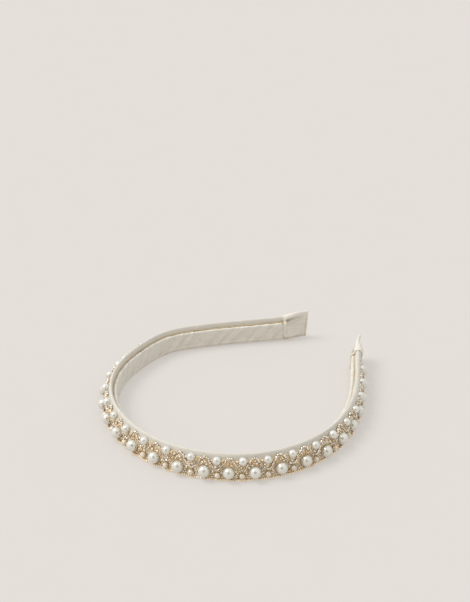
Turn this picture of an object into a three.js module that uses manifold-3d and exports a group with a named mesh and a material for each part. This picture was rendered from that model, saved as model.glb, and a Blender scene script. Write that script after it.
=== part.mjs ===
// Beaded satin headband lying on its lower edge.
// Millimetres. +Z up, the lower edge at z = 0, crown towards -Y, tips towards +Y.
import * as THREE from 'three';
import { ConvexGeometry } from 'three/addons/geometries/ConvexGeometry.js';
import { mergeVertices } from 'three/addons/utils/BufferGeometryUtils.js';
import Module from 'manifold-3d';

const wasm = await Module();
wasm.setup();

// ---- driving dimensions ----------------------------------------------

const bandLength = 380;                       // along the outer satin face, tip to tip
const bendRadius = 60;                        // the bend terms below are in units of 1 / this
const bendTerms = [0.905, 1.649, -5.79, 2.511];   // even powers of the distance from the crown
const bandHeight = 12.9;
const stationsPerHalf = 22;

const bodyThickness = 3.2;                    // padded outer body
const satinWall = 0.35;
const layerGap = 0.2;
const bodyCorner = 1.3;

const innerFace = 4.9;                        // inner band, measured in from the outer satin
const innerThickness = 1.45;
const innerLow = 1.0;
const innerHigh = 10.0;
const innerCorner = 0.35;
const coreThickness = 0.5;
const coreSlack = 0.15;                       // between the core and the ribbon's inside
const coreEdgeGap = 0.2;

const capLength = 13.8;
const capOuter = 0.3;                         // stands out past the satin
const capInner = 0.6;                         // stands in past the wrap
const capHeight = bandHeight + 0.2;
const capWall = 0.4;
const capCorner = 0.9;
const capStraight = 5;                        // where the sleeve starts to flatten
const pinch = { u: -2.7, thickness: 1.2, height: 14.4, room: 0.5 };   // the sleeve's flattened end
const capStitch = { r: 0.16, proud: 0.3, low: 2.4, span: 7.5, step: 0.9, steps: 4 };

// ends of the halves: half-gaps at the crown, and clearances at the caps
const crownGap = { core: 0.3, wrap: 0.35, body: 0.6, tape: 0.75, seeds: 2.6 };
const capGap = 0.2;
const tipReach = { core: capStraight - 1, wrap: capStraight - 0.8 };   // how far each runs into the cap

const tape = { inner: 0.1, outer: 0.35, low: 0.5, high: 10.4 };

const pitch = 12.66;                          // one repeat of the beading, with a small pearl at the crown
const pearl = { r: 2.85, u: 3.3, z: 5.0 };
const smallPearl = { r: 1.95, u: 2.85, z: 10.3 };
const crystal = { r: 1.45, u: 2.2, z: 2.4 };
const pearlThread = { r: 0.25, u: smallPearl.u, z: smallPearl.z };
const crystalThread = { r: 0.2, u: 1.2, z: 1.9 };
const wave = { r: 0.65, u: 1.2, low: 5.2, high: 10.2 };
const seed = { r: 0.4, u: 0.95, z: 0.8 };
const seam = { r: 0.12, u: -3.42, z: innerHigh + 0.2 };   // in the groove above the wrap

// ---- plan curve --------------------------------------------------------------

const half = bandLength / 2;

// Heading of the band at distance s from the crown; zero at the crown.
function heading(s) {
  const t = s / half;
  const [a, b, c, d] = bendTerms;
  return half / bendRadius * (a * t + b * t ** 3 / 3 + c * t ** 5 / 5 + d * t ** 7 / 7);
}

// Point of the outer satin face at distance s, by the midpoint rule.
function plan(s) {
  const steps = 240;
  const ds = s / steps;
  let x = 0;
  let y = 0;
  for (let i = 0; i < steps; i += 1) {
    const angle = heading((i + 0.5) * ds);
    x += Math.cos(angle) * ds;
    y += Math.sin(angle) * ds;
  }
  return [x, y];
}

// Point at distance s along the band, u outwards from the satin, z up.
function place(s, u, z) {
  const [x, y] = plan(s);
  const angle = heading(s);
  return new THREE.Vector3(x + u * Math.sin(angle), y - u * Math.cos(angle), z);
}

class BandPath extends THREE.Curve {
  constructor(start, end, u, zAt) {
    super();
    this.start = start;
    this.end = end;
    this.u = u;
    this.zAt = zAt;
  }

  getPoint(t, target = new THREE.Vector3()) {
    const s = this.start + (this.end - this.start) * t;
    return target.copy(place(s, this.u, this.zAt ? this.zAt(s) : 0));
  }

  // Stations are even along the band, whatever the path does in height.
  getUtoTmapping(u) {
    return u;
  }
}

// ---- profiles: u is outwards, z is up ----------------------------------------

function boxOutline(uLow, uHigh, zLow, zHigh, corner, kind = THREE.Shape) {
  const outline = new kind();
  const c = corner;
  if (c === 0) {
    outline.moveTo(-zLow, -uLow);
    outline.lineTo(-zHigh, -uLow);
    outline.lineTo(-zHigh, -uHigh);
    outline.lineTo(-zLow, -uHigh);
    outline.closePath();
    return outline;
  }
  outline.moveTo(-zLow - c, -uLow);
  outline.lineTo(-zHigh + c, -uLow);
  outline.lineTo(-zHigh, -uLow - c);
  outline.lineTo(-zHigh, -uHigh + c);
  outline.lineTo(-zHigh + c, -uHigh);
  outline.lineTo(-zLow - c, -uHigh);
  outline.lineTo(-zLow, -uHigh + c);
  outline.lineTo(-zLow, -uLow - c);
  outline.closePath();
  return outline;
}

function roundOutline(radius, sides) {
  const outline = new THREE.Shape();
  for (let i = 0; i < sides; i += 1) {
    const angle = 2 * Math.PI * i / sides;
    const x = radius * Math.cos(angle);
    const y = radius * Math.sin(angle);
    if (i === 0) outline.moveTo(x, y);
    else outline.lineTo(x, y);
  }
  outline.closePath();
  return outline;
}

// side is -1 for the left half and +1 for the right half; from and to are distances
// from the crown.
function sweep(outline, side, from, to, u = 0, zAt = null, steps = stationsPerHalf) {
  const path = side < 0 ? new BandPath(-to, -from, u, zAt) : new BandPath(from, to, u, zAt);
  return new THREE.ExtrudeGeometry(outline, { steps, bevelEnabled: false, extrudePath: path });
}

// ---- solids ------------------------------------------------------------------

function toSolid(geometry) {
  const bare = geometry.clone();
  bare.deleteAttribute('normal');
  bare.deleteAttribute('uv');
  const merged = mergeVertices(bare, 1e-4);
  const mesh = new wasm.Mesh({
    numProp: 3,
    vertProperties: new Float32Array(merged.attributes.position.array),
    triVerts: new Uint32Array(merged.index.array),
  });
  mesh.merge();
  return new wasm.Manifold(mesh);
}

function toGeometry(solid) {
  const mesh = solid.getMesh();
  const geometry = new THREE.BufferGeometry();
  geometry.setAttribute('position', new THREE.BufferAttribute(mesh.vertProperties, 3));
  geometry.setIndex(new THREE.BufferAttribute(mesh.triVerts, 1));
  return geometry;
}

function join(solids) {
  let joined = solids[0];
  for (const solid of solids.slice(1)) joined = joined.add(solid);
  return toGeometry(joined);
}

function ball(s, u, z, radius, round, high) {
  const geometry = new THREE.SphereGeometry(radius, round, high);
  geometry.rotateX(Math.PI / 2);
  geometry.rotateZ(heading(s));
  const point = place(s, u, z);
  geometry.translate(point.x, point.y, point.z);
  return geometry;
}

// ---- group -------------------------------------------------------------------

const group = new THREE.Group();
const finishes = {
  satin: [0xf0e9da, 0.38, 0.0],
  wrap: [0xefe6d2, 0.42, 0.0],
  foam: [0xe9e4d6, 0.9, 0.0],
  steel: [0x9a9da0, 0.35, 1.0],
  tape: [0xc9b28a, 0.7, 0.0],
  pearl: [0xf4f0ea, 0.18, 0.0],
  wave: [0xd8c8a6, 0.2, 0.3],
  crystal: [0xe2d3b4, 0.12, 0.0],
  seed: [0xb98a3e, 0.28, 0.5],
  thread: [0x9c7a45, 0.7, 0.0],
};

function addMesh(name, geometry, finish) {
  const [color, roughness, metalness] = finishes[finish];
  const mesh = new THREE.Mesh(geometry, new THREE.MeshStandardMaterial({ color, roughness, metalness }));
  mesh.name = name;
  group.add(mesh);
}

const capStart = half - capLength;
const bodyEnd = capStart - capGap;
const innerBack = innerFace - innerThickness;

// Corner cut of an outline that runs at an even distance inside another.
function insetCorner(corner, inset) {
  return corner - inset * (2 - Math.SQRT2);
}

// Distances from the crown of the beads of one row, every pitch from the first up to the cap.
function row(first) {
  const places = [];
  for (let s = first; s < capStart - pearl.r; s += pitch) places.push(s);
  return places;
}

function addCore(side, name) {
  const middle = innerFace - innerThickness / 2;
  const edge = satinWall + coreEdgeGap;
  const outline = boxOutline(
    -middle - coreThickness / 2, -middle + coreThickness / 2, innerLow + edge, innerHigh - edge, 0);
  addMesh(`core_${name}`, sweep(outline, side, crownGap.core, capStart + tipReach.core), 'steel');
}

// Ribbon wound round the core.
function addWrap(side, name) {
  const wall = (innerThickness - coreThickness) / 2 - coreSlack;
  const outline = boxOutline(-innerFace, -innerBack, innerLow, innerHigh, innerCorner);
  outline.holes.push(boxOutline(
    -innerFace + wall, -innerBack - wall, innerLow + wall, innerHigh - wall,
    insetCorner(innerCorner, wall), THREE.Path));
  addMesh(`wrap_${name}`, sweep(outline, side, crownGap.wrap, capStart + tipReach.wrap), 'wrap');
}

// Foam and its satin cover.
function addBody(side, name) {
  const skin = satinWall + layerGap;
  const foam = boxOutline(
    -bodyThickness + skin, -skin, skin, bandHeight - skin, insetCorner(bodyCorner, skin));
  addMesh(`padding_${name}`, sweep(foam, side, crownGap.body, bodyEnd - capGap), 'foam');
  const cover = boxOutline(-bodyThickness, 0, 0, bandHeight, bodyCorner);
  cover.holes.push(boxOutline(
    -bodyThickness + satinWall, -satinWall, satinWall, bandHeight - satinWall,
    insetCorner(bodyCorner, satinWall), THREE.Path));
  addMesh(`cover_${name}`, sweep(cover, side, crownGap.body, bodyEnd), 'satin');
}

// Thread glued in the groove between the wrap and the cover.
function addSeam(side, name) {
  const thread = sweep(roundOutline(seam.r, 4), side, crownGap.body, bodyEnd, seam.u, () => seam.z);
  addMesh(`seam_thread_${name}`, thread, 'thread');
}

// Satin sleeve over the tip: open towards the band, pinched flat at its end.
function addCap(side, name) {
  const ring = (d, uLow, uHigh, zLow, zHigh) => [
    [uLow + capCorner, zLow], [uHigh - capCorner, zLow],
    [uHigh, zLow + capCorner], [uHigh, zHigh - capCorner],
    [uHigh - capCorner, zHigh], [uLow + capCorner, zHigh],
    [uLow, zHigh - capCorner], [uLow, zLow + capCorner],
  ].map(([u, z]) => place(side * (capStart + d), u, z));
  const slit = (d, thickness, zLow, zHigh) => [
    [pinch.u - thickness / 2, zLow], [pinch.u + thickness / 2, zLow],
    [pinch.u + thickness / 2, zHigh], [pinch.u - thickness / 2, zHigh],
  ].map(([u, z]) => place(side * (capStart + d), u, z));
  const uLow = -innerFace - capInner;
  const shell = toSolid(new ConvexGeometry([
    ...ring(0, uLow, capOuter, 0, capHeight),
    ...ring(capStraight, uLow, capOuter, 0, capHeight),
    ...slit(capLength, pinch.thickness, 0, pinch.height)]));
  const inside = [uLow + capWall, capOuter - capWall, capWall, capHeight - capWall];
  const room = toSolid(new ConvexGeometry([
    ...ring(-1, ...inside),
    ...ring(capStraight, ...inside),
    ...slit(capLength - 5 * capWall, pinch.room, 2 * capWall, pinch.height - 4 * capWall)]));
  addMesh(`cap_${name}`, toGeometry(shell.subtract(room)), 'satin');
}

// One zigzag of thread that closes the cap on its inner face.
function addCapStitch(side, name) {
  const { r, proud, low, span, step, steps } = capStitch;
  const stitchZ = (s) => {
    const turns = (Math.abs(s) - capStart) / step;
    return low + span * Math.abs(((turns + 1) % 2) - 1);
  };
  const from = capStart + step;
  const stitch = sweep(
    roundOutline(r, 5), side, from, from + steps * step, -innerFace - capInner - proud, stitchZ,
    2 * steps);
  addMesh(`cap_stitch_${name}`, stitch, 'thread');
}

// Net tape that carries the beads.
function addTape(side, name) {
  const outline = boxOutline(tape.inner, tape.outer, tape.low, tape.high, 0);
  addMesh(`tape_${name}`, sweep(outline, side, crownGap.tape, bodyEnd - capGap), 'tape');
}

// Large pearls, one by one from the crown to the tip.
function addLargePearls(side, name) {
  row(pitch / 2).forEach((s, index) => {
    const label = String(index + 1).padStart(2, '0');
    addMesh(`pearl_${name}_${label}`, ball(side * s, pearl.u, pearl.z, pearl.r, 8, 6), 'pearl');
  });
}

// Small pearls along the top and crystals along the bottom, each row on its thread;
// the ones at the crown go with the left half.
function addStrands(side, name) {
  const places = row(side < 0 ? 0 : pitch);
  const strand = (bead, thread, round, high) => {
    const line = sweep(
      roundOutline(thread.r, 4), side, places[0], places[places.length - 1],
      thread.u, () => thread.z, places.length - 1);
    const beads = places.map((s) => toSolid(ball(side * s, bead.u, bead.z, bead.r, round, high)));
    return join([toSolid(line), ...beads]);
  };
  addMesh(`small_pearls_${name}`, strand(smallPearl, pearlThread, 7, 5), 'pearl');
  addMesh(`crystals_${name}`, strand(crystal, crystalThread, 6, 4), 'crystal');
}

// Strand that runs over each large pearl and under each small one.
function addWave(side, name) {
  const places = row(pitch / 2);
  const middle = (wave.high + wave.low) / 2;
  const swing = (wave.high - wave.low) / 2;
  const waveZ = (s) => middle - swing * Math.cos(2 * Math.PI * s / pitch);
  const strand = sweep(
    roundOutline(wave.r, 5), side, places[0], places[places.length - 1],
    wave.u, waveZ, (places.length - 1) * 6);
  addMesh(`wave_${name}`, strand, 'wave');
}

// Seed beads along the lower edge.
function addSeedEdge(side, name) {
  const strand = sweep(
    roundOutline(seed.r, 6), side, crownGap.seeds, bodyEnd - 2 * capGap, seed.u, () => seed.z);
  addMesh(`seed_edge_${name}`, strand, 'seed');
}

const pieces = [
  addCore, addWrap, addBody, addSeam, addCap, addCapStitch,
  addTape, addLargePearls, addStrands, addWave, addSeedEdge,
];
for (const [side, name] of [[-1, 'left'], [1, 'right']]) {
  for (const add of pieces) add(side, name);
}

// ---- centre the part on its base ---------------------------------------------

const box = new THREE.Box3().setFromObject(group);
const centre = box.getCenter(new THREE.Vector3());
for (const mesh of group.children) mesh.geometry.translate(-centre.x, -centre.y, -box.min.z);

export default group;
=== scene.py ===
"""Ivory satin headband with a beaded trim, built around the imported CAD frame.

Lengths inside the script are millimetres along the band: s is the distance from the crown along the
outer satin face (left arm negative), u points outwards from that face, z is up from the lower edge.
"""
import math

import bmesh
import bpy
import numpy as np
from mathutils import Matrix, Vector


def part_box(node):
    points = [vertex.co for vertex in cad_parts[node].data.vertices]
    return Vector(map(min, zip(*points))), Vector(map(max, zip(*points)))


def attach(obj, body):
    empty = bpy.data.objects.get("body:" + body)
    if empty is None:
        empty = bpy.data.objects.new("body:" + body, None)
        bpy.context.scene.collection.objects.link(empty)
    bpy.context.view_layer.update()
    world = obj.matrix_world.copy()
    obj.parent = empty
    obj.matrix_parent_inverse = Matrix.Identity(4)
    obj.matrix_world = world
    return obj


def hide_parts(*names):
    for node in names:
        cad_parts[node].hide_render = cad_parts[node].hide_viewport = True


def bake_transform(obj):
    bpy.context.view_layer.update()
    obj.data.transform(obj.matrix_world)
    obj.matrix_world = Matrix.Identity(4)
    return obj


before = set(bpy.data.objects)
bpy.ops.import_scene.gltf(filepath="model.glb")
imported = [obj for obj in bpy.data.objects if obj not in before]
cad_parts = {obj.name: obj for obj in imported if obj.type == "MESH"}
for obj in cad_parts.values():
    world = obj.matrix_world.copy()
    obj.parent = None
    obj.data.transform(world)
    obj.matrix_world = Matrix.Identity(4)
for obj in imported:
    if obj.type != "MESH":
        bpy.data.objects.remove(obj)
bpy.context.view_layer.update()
rng = np.random.default_rng(7)

# ---- driving dimensions, in millimetres ----

MM = 0.001
HALF = 190.0  # crown to tip along the outer face
BEND_RADIUS = 60.0  # the bend terms are in units of 1 / this
BEND_TERMS = (0.905, 1.649, -5.79, 2.511)  # even powers of the distance from the crown
CROWN_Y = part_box("cover_left")[0].y / MM  # outer satin face at the crown
BAND_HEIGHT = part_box("cover_left")[1].z / MM
BODY_THICKNESS = 3.2
WRAP_OUTER, WRAP_INNER = -3.3, -4.9
WRAP_LOW, WRAP_HIGH = 0.9, 10.0
SEAM_U, SEAM_Z, SEAM_R = WRAP_OUTER, 10.2, 0.32
CORE_THICKNESS, CORE_MARGIN = 0.5, 0.6  # the margin is the ribbon above and below the spring
CAP_LENGTH = 13.8
CAP_START = HALF - CAP_LENGTH
COVER_TUCK, WRAP_TUCK = 1.2, 3.0  # how far these run into each cap
PINCH_HEIGHT = {"left": 14.6, "right": 14.3}
PINCH_U, PINCH_HALF = -2.7, 0.5  # middle and half thickness of the pinched end
FLEX_ZONE = 30.0  # half width, along X, of the stretch that bends
FLOOR_GAP = 0.03  # the lowest that swept pieces, threads and caps reach
SIDES = (("left", -1), ("right", 1))

# The band is bent in the places listed below. Each row has an amount, and where and over what length it
# applies.
ARM_BOW, ARM_BOW_S, ARM_BOW_WIDTH = 2.2, -112, 16  # the left arm stands out
CROWN_BOW, CROWN_BOW_S, CROWN_BOW_WIDTH = 0.9, 45, 45  # and the right of the crown
SWELL, SWELL_START, SWELL_LENGTH = 0.02, 90, 40  # the arms are taller by this share
TIP_LIFT, LIFT_START, LIFT_LENGTH = 0.5, 150, 30  # the left tip hangs clear of the floor

PITCH = 12.66  # from one large pearl to the next
LARGE_R, SMALL_R, CRYSTAL_R = 2.85, 2.05, 1.4
LARGE_HOLE, SMALL_HOLE, CRYSTAL_HOLE = 0.38, 0.30, 0.25
LARGE_U, LARGE_Z = 2.1, 4.6
SMALL_U, SMALL_Z = 0.55, 10.1
CRYSTAL_U, CRYSTAL_Z = 1.9, 2.75
SEED_R, SEED_LENGTH, SEED_HOLE = 0.62, 0.95, 0.2
FINE_R, FINE_LENGTH, FINE_HOLE = 0.52, 0.8, 0.16  # seed beads of the lower edge and the filling
BUGLE_R, BUGLE_LENGTH, BUGLE_HOLE = 0.68, 2.25, 0.2
WAVE_LOW, WAVE_HIGH = 4.9, 11.2
WAVE_RISE = 0.8  # how far the wave's beads stand off the satin
TAPE_RISE, TAPE_THICKNESS = 0.3, 0.25
FLARE, FLARE_HEIGHT = 2.0, 1.1  # the trim's lower edge spreads out over the floor
YARN_R, STRAND_R, LOOP_R, CORD_R = 0.13, 0.11, 0.15, 0.18


# ---- the band's curve ----

def heading(s):
    """The band's direction in plan, as an angle from X: the sum of its bend from the crown to s."""
    t = np.asarray(s, float) / HALF
    a, b, c, d = BEND_TERMS
    return HALF / BEND_RADIUS * (a * t + b * t**3 / 3 + c * t**5 / 5 + d * t**7 / 7)


def running(steps):
    """The sum of the steps so far, from 0."""
    return np.concatenate([[0], np.cumsum(steps)])


CURVE_S = np.linspace(-HALF - 5, HALF + 5, 4001)
CURVE_STEP = CURVE_S[1] - CURVE_S[0]
MID_HEADING = heading((CURVE_S[1:] + CURVE_S[:-1]) / 2)
CURVE_X = running(np.cos(MID_HEADING)) * CURVE_STEP
CURVE_Y = running(np.sin(MID_HEADING)) * CURVE_STEP
CURVE_X -= np.interp(0, CURVE_S, CURVE_X)
CURVE_Y -= np.interp(0, CURVE_S, CURVE_Y)


def rise(x, start, length):
    """0 before the start, 1 after the length, and a soft step between."""
    t = np.clip((x - start) / length, 0, 1)
    return t * t * (3 - 2 * t)


def bell(x, middle, width):
    """1 at the middle, fading to 0 on both sides."""
    return np.exp(-((x - middle) / width)**2)


def place(s, u, z):
    """Points in metres, in the frame of the CAD model, for arrays of s, u and z."""
    s, u, z = np.broadcast_arrays(np.asarray(s, float), u, z)
    u = u + ARM_BOW * bell(s, ARM_BOW_S, ARM_BOW_WIDTH)
    u = u + CROWN_BOW * bell(s, CROWN_BOW_S, CROWN_BOW_WIDTH)
    taller = 1 + SWELL * rise(np.abs(s), SWELL_START, SWELL_LENGTH)
    z = z * taller + TIP_LIFT * rise(-s, LIFT_START, LIFT_LENGTH)
    turn = heading(s)
    x = np.interp(s, CURVE_S, CURVE_X) + u * np.sin(turn)
    y = np.interp(s, CURVE_S, CURVE_Y) - u * np.cos(turn) + CROWN_Y
    return np.stack([x, y, z], -1) * MM


def directions(s):
    """Unit vectors along the band, outwards and up at one place on it."""
    turn = float(heading(s))
    along = np.array([math.cos(turn), math.sin(turn), 0])
    out = np.array([math.sin(turn), -math.cos(turn), 0])
    return along, out, np.array([0, 0, 1.0])


def stations(end, step):
    """Distances from the crown, from -end to end."""
    return np.arange(-end, end + 0.01, step)


def ripple(a, b, size_a, size_b, seed):
    """Smooth noise between about -1 and 1 with features of the given sizes: a sum of random waves."""
    local = np.random.default_rng(seed)
    waves = 7
    total = 0
    for _ in range(waves):
        turns_a, turns_b = local.uniform(0.5, 1.4) / size_a, local.uniform(-1.2, 1.2) / size_b
        total = total + np.sin(2 * np.pi * (turns_a * a + turns_b * b) + local.uniform(0, 2 * np.pi))
    return total / math.sqrt(waves)


# ---- mesh building ----

def add_object(name, data):
    obj = bpy.data.objects.new(name, data)
    bpy.context.scene.collection.objects.link(obj)
    return obj


def make_object(name, points, faces, material, attributes=None, rounded=True):
    """A mesh object with its faces outwards. Each attribute is a value or a vector for every point."""
    mesh = bpy.data.meshes.new(name)
    mesh.from_pydata(np.asarray(points).reshape(-1, 3).tolist(), [], faces)
    mesh.validate()
    shell = bmesh.new()
    shell.from_mesh(mesh)
    if shell.calc_volume(signed=True) < 0:
        mesh.flip_normals()
    shell.free()
    mesh.polygons.foreach_set("use_smooth", [rounded] * len(mesh.polygons))
    for key, values in (attributes or {}).items():
        values = np.asarray(values, np.float32)
        kind = "FLOAT_VECTOR" if values.ndim > 1 else "FLOAT"
        layer = mesh.attributes.new(key, kind, "POINT")
        layer.data.foreach_set("vector" if values.ndim > 1 else "value", values.ravel())
    mesh.materials.append(material)
    return add_object(name, mesh)


def ring_faces(rings, around, capped=True):
    """Quads between rings of points, closed round each ring, with the two ends filled."""
    faces = []
    for i in range(rings - 1):
        for j in range(around):
            k = (j + 1) % around
            here, ahead = i * around, (i + 1) * around
            faces.append((here + j, here + k, ahead + k, ahead + j))
    if capped:
        faces.append(tuple(range(around))[::-1])
        faces.append(tuple((rings - 1) * around + j for j in range(around)))
    return faces


def even_loop(u, z, count):
    """A closed outline as evenly spaced points u, z, outward normals, and the distance round it."""
    run = running(np.hypot(np.diff(u), np.diff(z)))
    around = np.linspace(0, run[-1], count + 1)[:-1]
    u, z = np.interp(around, run, u), np.interp(around, run, z)
    nu = np.roll(z, -1) - np.roll(z, 1)
    nz = np.roll(u, 1) - np.roll(u, -1)
    size = np.hypot(nu, nz)
    return u, z, nu / size, nz / size, around


def oval_loop(u_low, u_high, z_low, z_high, count, powers):
    """An oval outline, as even_loop gives it.

    powers squares up each quarter, from 2 for an ellipse: outer top, inner top, inner low, outer low.
    """
    turn = np.linspace(0, 2 * np.pi, 1441)
    quarter = np.minimum((turn / (np.pi / 2)).astype(int), 3)
    bend = 2 / np.array(powers)[quarter]
    across, upward = np.cos(turn), np.sin(turn)
    u = (u_low + u_high) / 2 + (u_high - u_low) / 2 * np.sign(across) * np.abs(across)**bend
    z = (z_low + z_high) / 2 + (z_high - z_low) / 2 * np.sign(upward) * np.abs(upward)**bend
    return even_loop(u, z, count)


def sweep(name, along, loop, material, offset=None, stain_and_shade=None, shade=None):
    """A closed piece that follows the band through the distances in along.

    loop is its outline. offset(s, u, z, around) pushes the surface in and out. The last two functions of
    (s, u, z) give the strength of the satin's brown glue marks with painted shade, and of the painted
    shade in its folds.
    """
    u, z, nu, nz, around = loop
    s = np.asarray(along)[:, None]
    push = offset(s, u[None], z[None], around[None]) if offset else 0
    out = u + nu * push + 0 * s
    up = np.maximum(z + nz * push + 0 * s, FLOOR_GAP)
    points = place(s + 0 * out, out, up)
    marks = {"band": np.stack([s + 0 * out, around + 0 * out, up], -1).reshape(-1, 3)}
    for key, value in (("stain_and_shade", stain_and_shade), ("shade", shade)):
        if value:
            marks[key] = (value(s, out, up) + 0 * out).ravel()
    return make_object(name, points, ring_faces(len(along), len(u)), material, marks)


TWIST = 5  # how fast a twisted thread turns, in radians for each millimetre
STEEP = 0.2  # the flat part of a direction that counts as almost upright


def thread(name, s, u, z, radius, material, sides=8, lay=0.0, closed=False):
    """A round thread through points on the band. lay is the depth of the twist's ridges."""
    centre = place(s, u, z) / MM
    ahead = np.roll(centre, -1, 0) - np.roll(centre, 1, 0) if closed else np.gradient(centre, axis=0)
    ahead /= np.linalg.norm(ahead, axis=1)[:, None]
    side = np.cross(ahead, [0, 0, 1.0])
    steep = np.linalg.norm(side, axis=1) < STEEP
    side[steep] = np.cross(ahead[steep], [1.0, 0.3, 0])
    side /= np.linalg.norm(side, axis=1)[:, None]
    over = np.cross(side, ahead)
    run = running(np.linalg.norm(np.diff(centre, axis=0), axis=1))
    angle = 2 * np.pi * np.arange(sides) / sides
    twist = np.cos(2 * angle[None] - TWIST * run[:, None]) if lay else np.zeros((len(run), sides))
    r = radius * (1 + lay * twist)[..., None]
    rings = centre[:, None] + r * (np.cos(angle)[None, :, None] * side[:, None]
                                   + np.sin(angle)[None, :, None] * over[:, None])
    rings[..., 2] = np.maximum(rings[..., 2], FLOOR_GAP)
    faces = ring_faces(len(run), sides, capped=not closed)
    if closed:
        last = (len(run) - 1) * sides
        faces += [(last + j, last + (j + 1) % sides, (j + 1) % sides, j) for j in range(sides)]
    along, round_it = np.broadcast_arrays(run[:, None], angle)
    marks = {"band": np.stack([along, round_it, 0 * along], -1).reshape(-1, 3)}
    return make_object(name, rings * MM, faces, material, marks)


def lathe(profile, sides):
    """A bead turned about its own X axis from a closed profile of (x, radius): points and quads."""
    n = len(profile)
    angle = 2 * np.pi * np.arange(sides) / sides
    x = np.array([p[0] for p in profile])
    r = np.array([p[1] for p in profile])
    points = np.stack([np.broadcast_to(x, (sides, n)), r * np.cos(angle)[:, None],
                       r * np.sin(angle)[:, None]], -1).reshape(-1, 3)
    faces = []
    for i in range(sides):
        for j in range(n):
            a, b = i * n, (i + 1) % sides * n
            k = (j + 1) % n
            faces.append((a + j, a + k, b + k, b + j))
    return points, faces


def ball_profile(radius, hole, steps):
    """A sphere drilled through: a softly rounded mouth, and a bore that is narrower inside."""
    start = math.asin(hole / radius)
    edge = start * 1.25
    angles = np.linspace(edge, math.pi - edge, steps)
    outer = [(-radius * math.cos(a), radius * math.sin(a)) for a in angles]
    mouth = radius * math.cos(start) * 0.985
    inside, bore = mouth * 0.8, hole * 0.85
    return outer + [(mouth, hole), (inside, bore), (-inside, bore), (-mouth, hole)]


def seed_profile(radius, length, hole):
    """A doughnut bead: a ring drawn round its thread, a little squarer than a circle."""
    steps, power = 9, 0.75
    thick = (radius - hole) / 2
    middle = (radius + hole) / 2

    def squared(value):
        return math.copysign(abs(value)**power, value)

    angles = np.linspace(0, 2 * math.pi, steps + 1)[:-1]
    return [(length / 2 * squared(math.cos(a)), middle + thick * squared(math.sin(a)))
            for a in angles[::-1]]


def bugle_profile(radius, length, hole):
    """A cut glass tube with bevelled ends."""
    end, bevel = length / 2, 0.12
    inside, bore = end * 0.6, hole * 0.8
    outer = [(-end, radius - bevel), (-end + bevel, radius), (end - bevel, radius), (end, radius - bevel)]
    return outer + [(end, hole), (inside, bore), (-inside, bore), (-end, hole)]


class Beads:
    """Gathers many beads into one mesh, each with its own tone between 0 and 1."""

    def __init__(self):
        self.points, self.faces, self.tones, self.local = [], [], [], []
        self.count = 0

    def add(self, template, s, u, z, along=(1, 0, 0), spin=0.0, size=1.0, tone=None):
        """A bead from lathe, at s, u, z. along is its axis as parts along the band, outwards and up."""
        points, faces = template
        band, out, up = directions(s)
        axis = along[0] * band + along[1] * out + along[2] * up
        axis /= np.linalg.norm(axis)
        side = np.cross(up if abs(axis[2]) < 0.9 else out, axis)
        side /= np.linalg.norm(side)
        over = np.cross(axis, side)
        side, over = (side * math.cos(spin) + over * math.sin(spin),
                      over * math.cos(spin) - side * math.sin(spin))
        turned = points * size @ np.stack([axis, side, over])
        self.points.append(turned * MM + place(s, u, z))
        self.faces += [tuple(v + self.count for v in face) for face in faces]
        tone = rng.uniform() if tone is None else tone
        self.tones.append(np.full(len(points), tone))
        self.local.append(points)
        self.count += len(points)

    def build(self, name, material):
        marks = {"tone": np.concatenate(self.tones), "bead": np.concatenate(self.local)}
        return make_object(name, np.concatenate(self.points), self.faces, material, marks)


# ---- materials ----

MIX_FACTOR, MIX_A, MIX_B, MIX_RESULT = 0, 6, 7, 2  # the Mix node's sockets for colours
WHITE = (1.0, 1.0, 1.0)


class Nodes:
    """A short way to write a node tree."""

    def __init__(self, tree):
        self.tree = tree

    def node(self, kind, **settings):
        """A node with its inputs, or its own properties, set by name."""
        made = self.tree.nodes.new("ShaderNode" + kind)
        for key, value in settings.items():
            if key in made.inputs:
                made.inputs[key].default_value = value
            else:
                setattr(made, key, value)
        return made

    def feed(self, socket, value):
        """Sets an input to a number or a colour, or links the output of a node to it."""
        if isinstance(value, (int, float)):
            socket.default_value = value
        elif isinstance(value, tuple):
            socket.default_value = (*value, 1)
        else:
            self.tree.links.new(value, socket)

    def attribute(self, name, output="Fac"):
        return self.node("Attribute", attribute_name=name).outputs[output]

    def fed(self, kind, vector, output, **settings):
        """The output of a node that takes a vector."""
        made = self.node(kind, **settings)
        self.feed(made.inputs["Vector"], vector)
        return made.outputs[output]

    def mapped(self, vector, **settings):
        return self.fed("Mapping", vector, "Vector", **settings)

    def noise(self, vector, scale, detail=3.0, roughness=0.5):
        """Noise with a scale of its own along each axis of the vector."""
        vector = self.mapped(vector, Scale=scale)
        return self.fed("TexNoise", vector, "Fac", Scale=1.0, Detail=detail, Roughness=roughness)

    def ramp(self, value, *stops):
        """Colours along a value. Each stop is (position, colour)."""
        made = self.node("ValToRGB")
        elements = made.color_ramp.elements
        while len(elements) < len(stops):
            elements.new(0.5)
        for element, (position, colour) in zip(elements, stops):
            element.position = position
            element.color = (*colour, 1)
        self.feed(made.inputs["Fac"], value)
        return made.outputs["Color"]

    def grey(self, value, low, high):
        """A value from 0 to 1 as one from low to high."""
        made = self.node("MapRange")
        for key, number in (("To Min", low), ("To Max", high), ("Value", value)):
            self.feed(made.inputs[key], number)
        return made.outputs["Result"]

    def maths(self, operation, a, b):
        made = self.node("Math", operation=operation)
        self.feed(made.inputs[0], a)
        self.feed(made.inputs[1], b)
        return made.outputs["Value"]

    def mix(self, factor, a, b, blend="MIX"):
        """Two colours blended. Each input is a number, a colour or the output of a node."""
        made = self.node("Mix", data_type="RGBA", blend_type=blend)
        for index, value in ((MIX_FACTOR, factor), (MIX_A, a), (MIX_B, b)):
            self.feed(made.inputs[index], value)
        return made.outputs[MIX_RESULT]


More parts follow.
